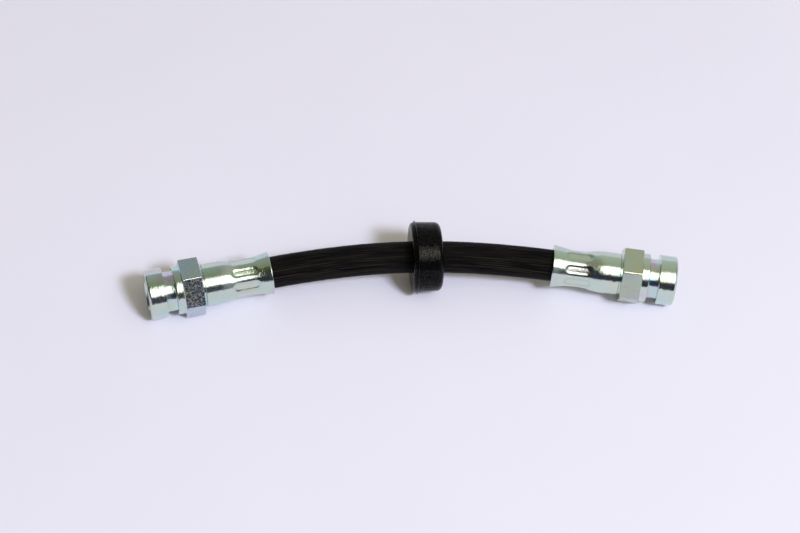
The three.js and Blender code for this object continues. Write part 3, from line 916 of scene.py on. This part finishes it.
def softbox(name, azimuth, elevation, distance, aside, size, brightness, tint, reflected=True):
    """A rectangular lamp that faces the hose, moved aside. It makes a white table so bright."""
    lamp = bpy.data.lights.new(name, "AREA")
    lamp.shape = "RECTANGLE"
    lamp.size, lamp.size_y = size
    lamp.color = colour(tint)[:3]
    box = bpy.data.objects.new(name, lamp)
    axes = camera_axes(math.radians(azimuth), math.radians(elevation), 0)
    towards = axes[2] * distance + axes[0] * aside
    facing = distance / towards.length
    lamp.energy = brightness * math.pi**2 * towards.length**3 / (facing * towards.z)
    box.matrix_world = Matrix(axes).transposed().to_4x4()
    box.location = AIM + towards
    box.visible_camera = False
    box.visible_glossy = reflected
    bpy.context.scene.collection.objects.link(box)
    radiance = lamp.energy / (math.pi * size[0] * size[1])
    print(name, round(lamp.energy, 1), "W, radiance", round(radiance, 2))


softbox(
    "key_softbox", azimuth=31, elevation=47, distance=3.0, aside=0,
    size=(0.57, 0.52), brightness=0.595, tint="#E6EAFF", reflected=False,
)
softbox(
    "overhead_softbox", azimuth=0, elevation=58.5, distance=1.2, aside=0.55,
    size=(1.1, 1.0), brightness=0.2, tint="#FFFBE6",
)

# %% Cards for the metal to reflect
FAR_SIDE = 8.0


def card(name, near, far, near_shade, far_shade, strength=1.0):
    """A glowing card between two edges, each given by its ends, shading between two colours."""
    # Each card is a glowing sheet that only reflections see: a painted reflection, not a lamp.
    material, tree, glow = new_material(name + "_glow_seen_in_reflections", "ShaderNodeEmission")
    corners = [*near, *reversed(far)]
    axis = "Y" if near[0][1] != far[0][1] else "Z"
    place = add_node(tree, "ShaderNodeTexCoord").outputs["Object"]
    split = add_node(tree, "ShaderNodeSeparateXYZ", {"Vector": place})
    share = add_node(tree, "ShaderNodeMapRange", {
        "Value": split.outputs[axis],
        "From Min": near[0]["XYZ".index(axis)], "From Max": far[0]["XYZ".index(axis)],
    }).outputs["Result"]
    shade = add_node(tree, "ShaderNodeMix", {
        "Factor": share, 6: colour(near_shade), 7: colour(far_shade),
    }, data_type="RGBA").outputs[2]
    tree.links.new(shade, glow.inputs["Color"])
    glow.inputs["Strength"].default_value = strength
    made = flat_sheet(name, corners, material)
    made.visible_camera = False
    made.visible_diffuse = False
    made.visible_shadow = False
    made.visible_transmission = False


def across(left, right, y, z):
    """The two ends of an edge that runs from left to right."""
    return [(left, y, z), (right, y, z)]


def outwards(x, z):
    """The two ends of an edge that runs beside the hose, from front to back."""
    return [(x, -1.7, z), (x, 2.5, z)]


L, R = -FAR_SIDE, FAR_SIDE
FOOT, SIDE_TOP, SIDE_REACH = 0.03, 1.6, 2.5  # two heights and how far a side card stands off
LOW_MEET, LEFT_EDGE, BACK_MEET = 0.45, -0.02, 0.12  # where cards end or meet, along the hose
FRONT_FOOT, FRONT_TOP, ABOVE, BEHIND = (-1.7, FOOT), (-1.3, 0.95), (-0.21, 1.4), (1.3, 0.75)
low, low_top = across(L, LOW_MEET, *FRONT_FOOT), across(L, LOW_MEET, *FRONT_TOP)
card("low_card", low, low_top, "#2C2B3C", "#3C3A48")
low, low_top = across(LOW_MEET, R, *FRONT_FOOT), across(LOW_MEET, R, *FRONT_TOP)
card("low_right_card", low, low_top, "#807E88", "#A3A1A8")
card("left_card", across(L, LEFT_EDGE, *FRONT_TOP), across(L, LEFT_EDGE, *ABOVE), "#34323E", "#56563F")
above, behind = across(L, BACK_MEET, *ABOVE), across(L, BACK_MEET, *BEHIND)
card("back_left_card", above, behind, "#8A8C6C", "#A4AEAE")
above, behind = across(BACK_MEET, R, *ABOVE), across(BACK_MEET, R, *BEHIND)
card("back_right_card", above, behind, "#B0B29A", "#C6CABE")
lower, upper = across(0, 1.1, -0.78, 0.87), across(0, 1.1, -0.4, 1.1)
# A painted reflection: a glowing sheet that puts the glare on the rubber ring.
card("bright_card", lower, upper, "#FFFBE6", "#FFFBE6", strength=5.5)
left_foot, left_top = outwards(-SIDE_REACH, FOOT), outwards(-SIDE_REACH, SIDE_TOP)
card("left_side_card", left_foot, left_top, "#23222C", "#3A3840")
right_foot, right_top = outwards(SIDE_REACH, FOOT), outwards(SIDE_REACH, SIDE_TOP)
card("right_side_card", right_foot, right_top, "#4A4A50", "#6A6A70")
